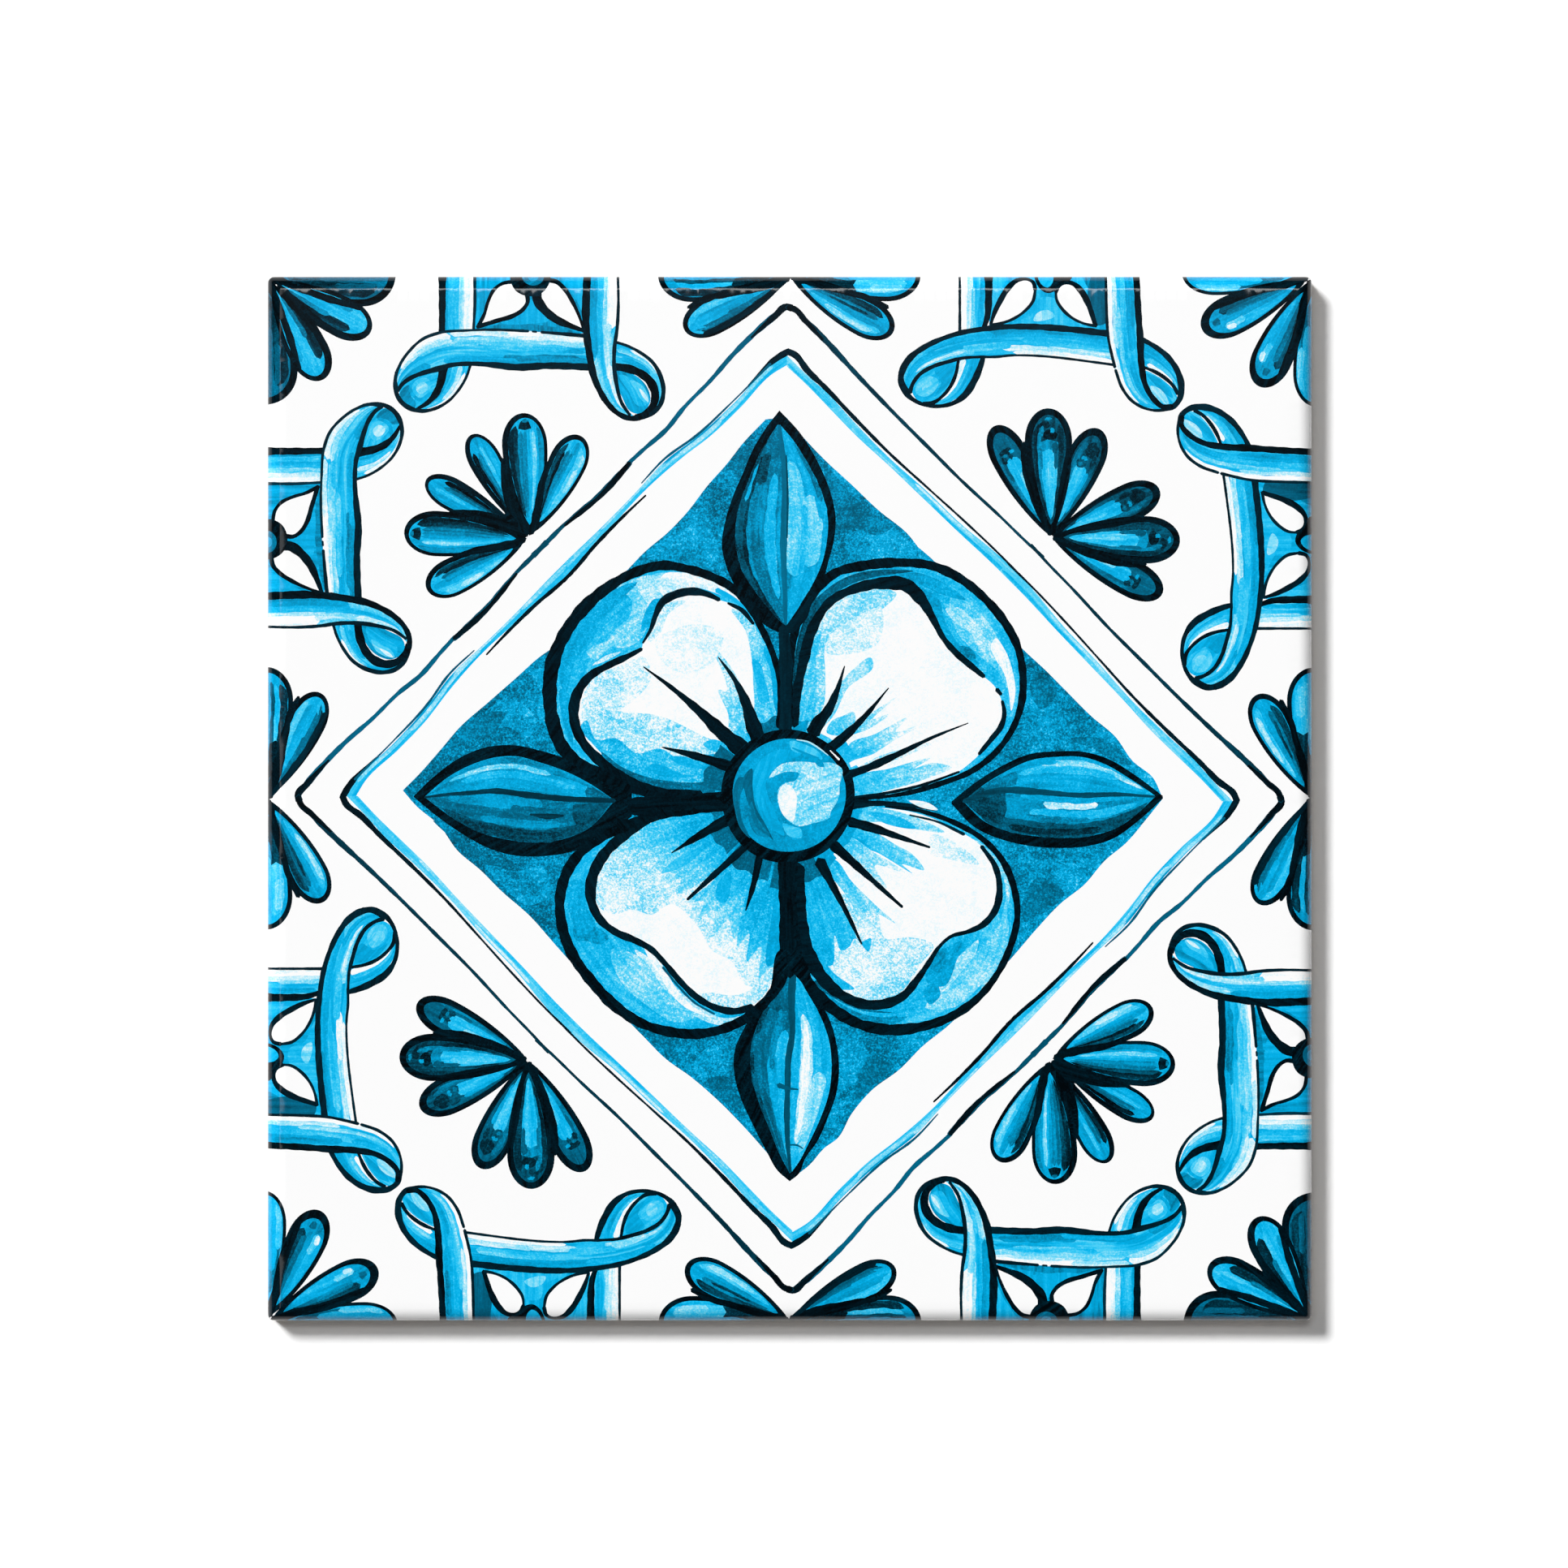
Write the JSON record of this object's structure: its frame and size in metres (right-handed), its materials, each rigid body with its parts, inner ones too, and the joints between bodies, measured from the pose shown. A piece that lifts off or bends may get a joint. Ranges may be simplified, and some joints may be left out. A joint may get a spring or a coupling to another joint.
{
  "type": "ceramic wall tile",
  "caption": "Square glazed wall tile with a rolled cushion edge, a painted floral lozenge pattern and a moulded waffle back.",
  "frame": {"origin": "centre of the back, on the plane of the ribs that the tile rests on", "axes": "+Z out of the glazed face, +Y towards the edge at the top of the painted pattern, +X to the right of it"},
  "size_m": [0.1524, 0.1524, 0.0065],
  "materials": {
    "glazed_tile": "gloss"
  },
  "bodies": {
    "root": {"ceramic_tile": "glazed_tile"}
  },
  "joints": []
}
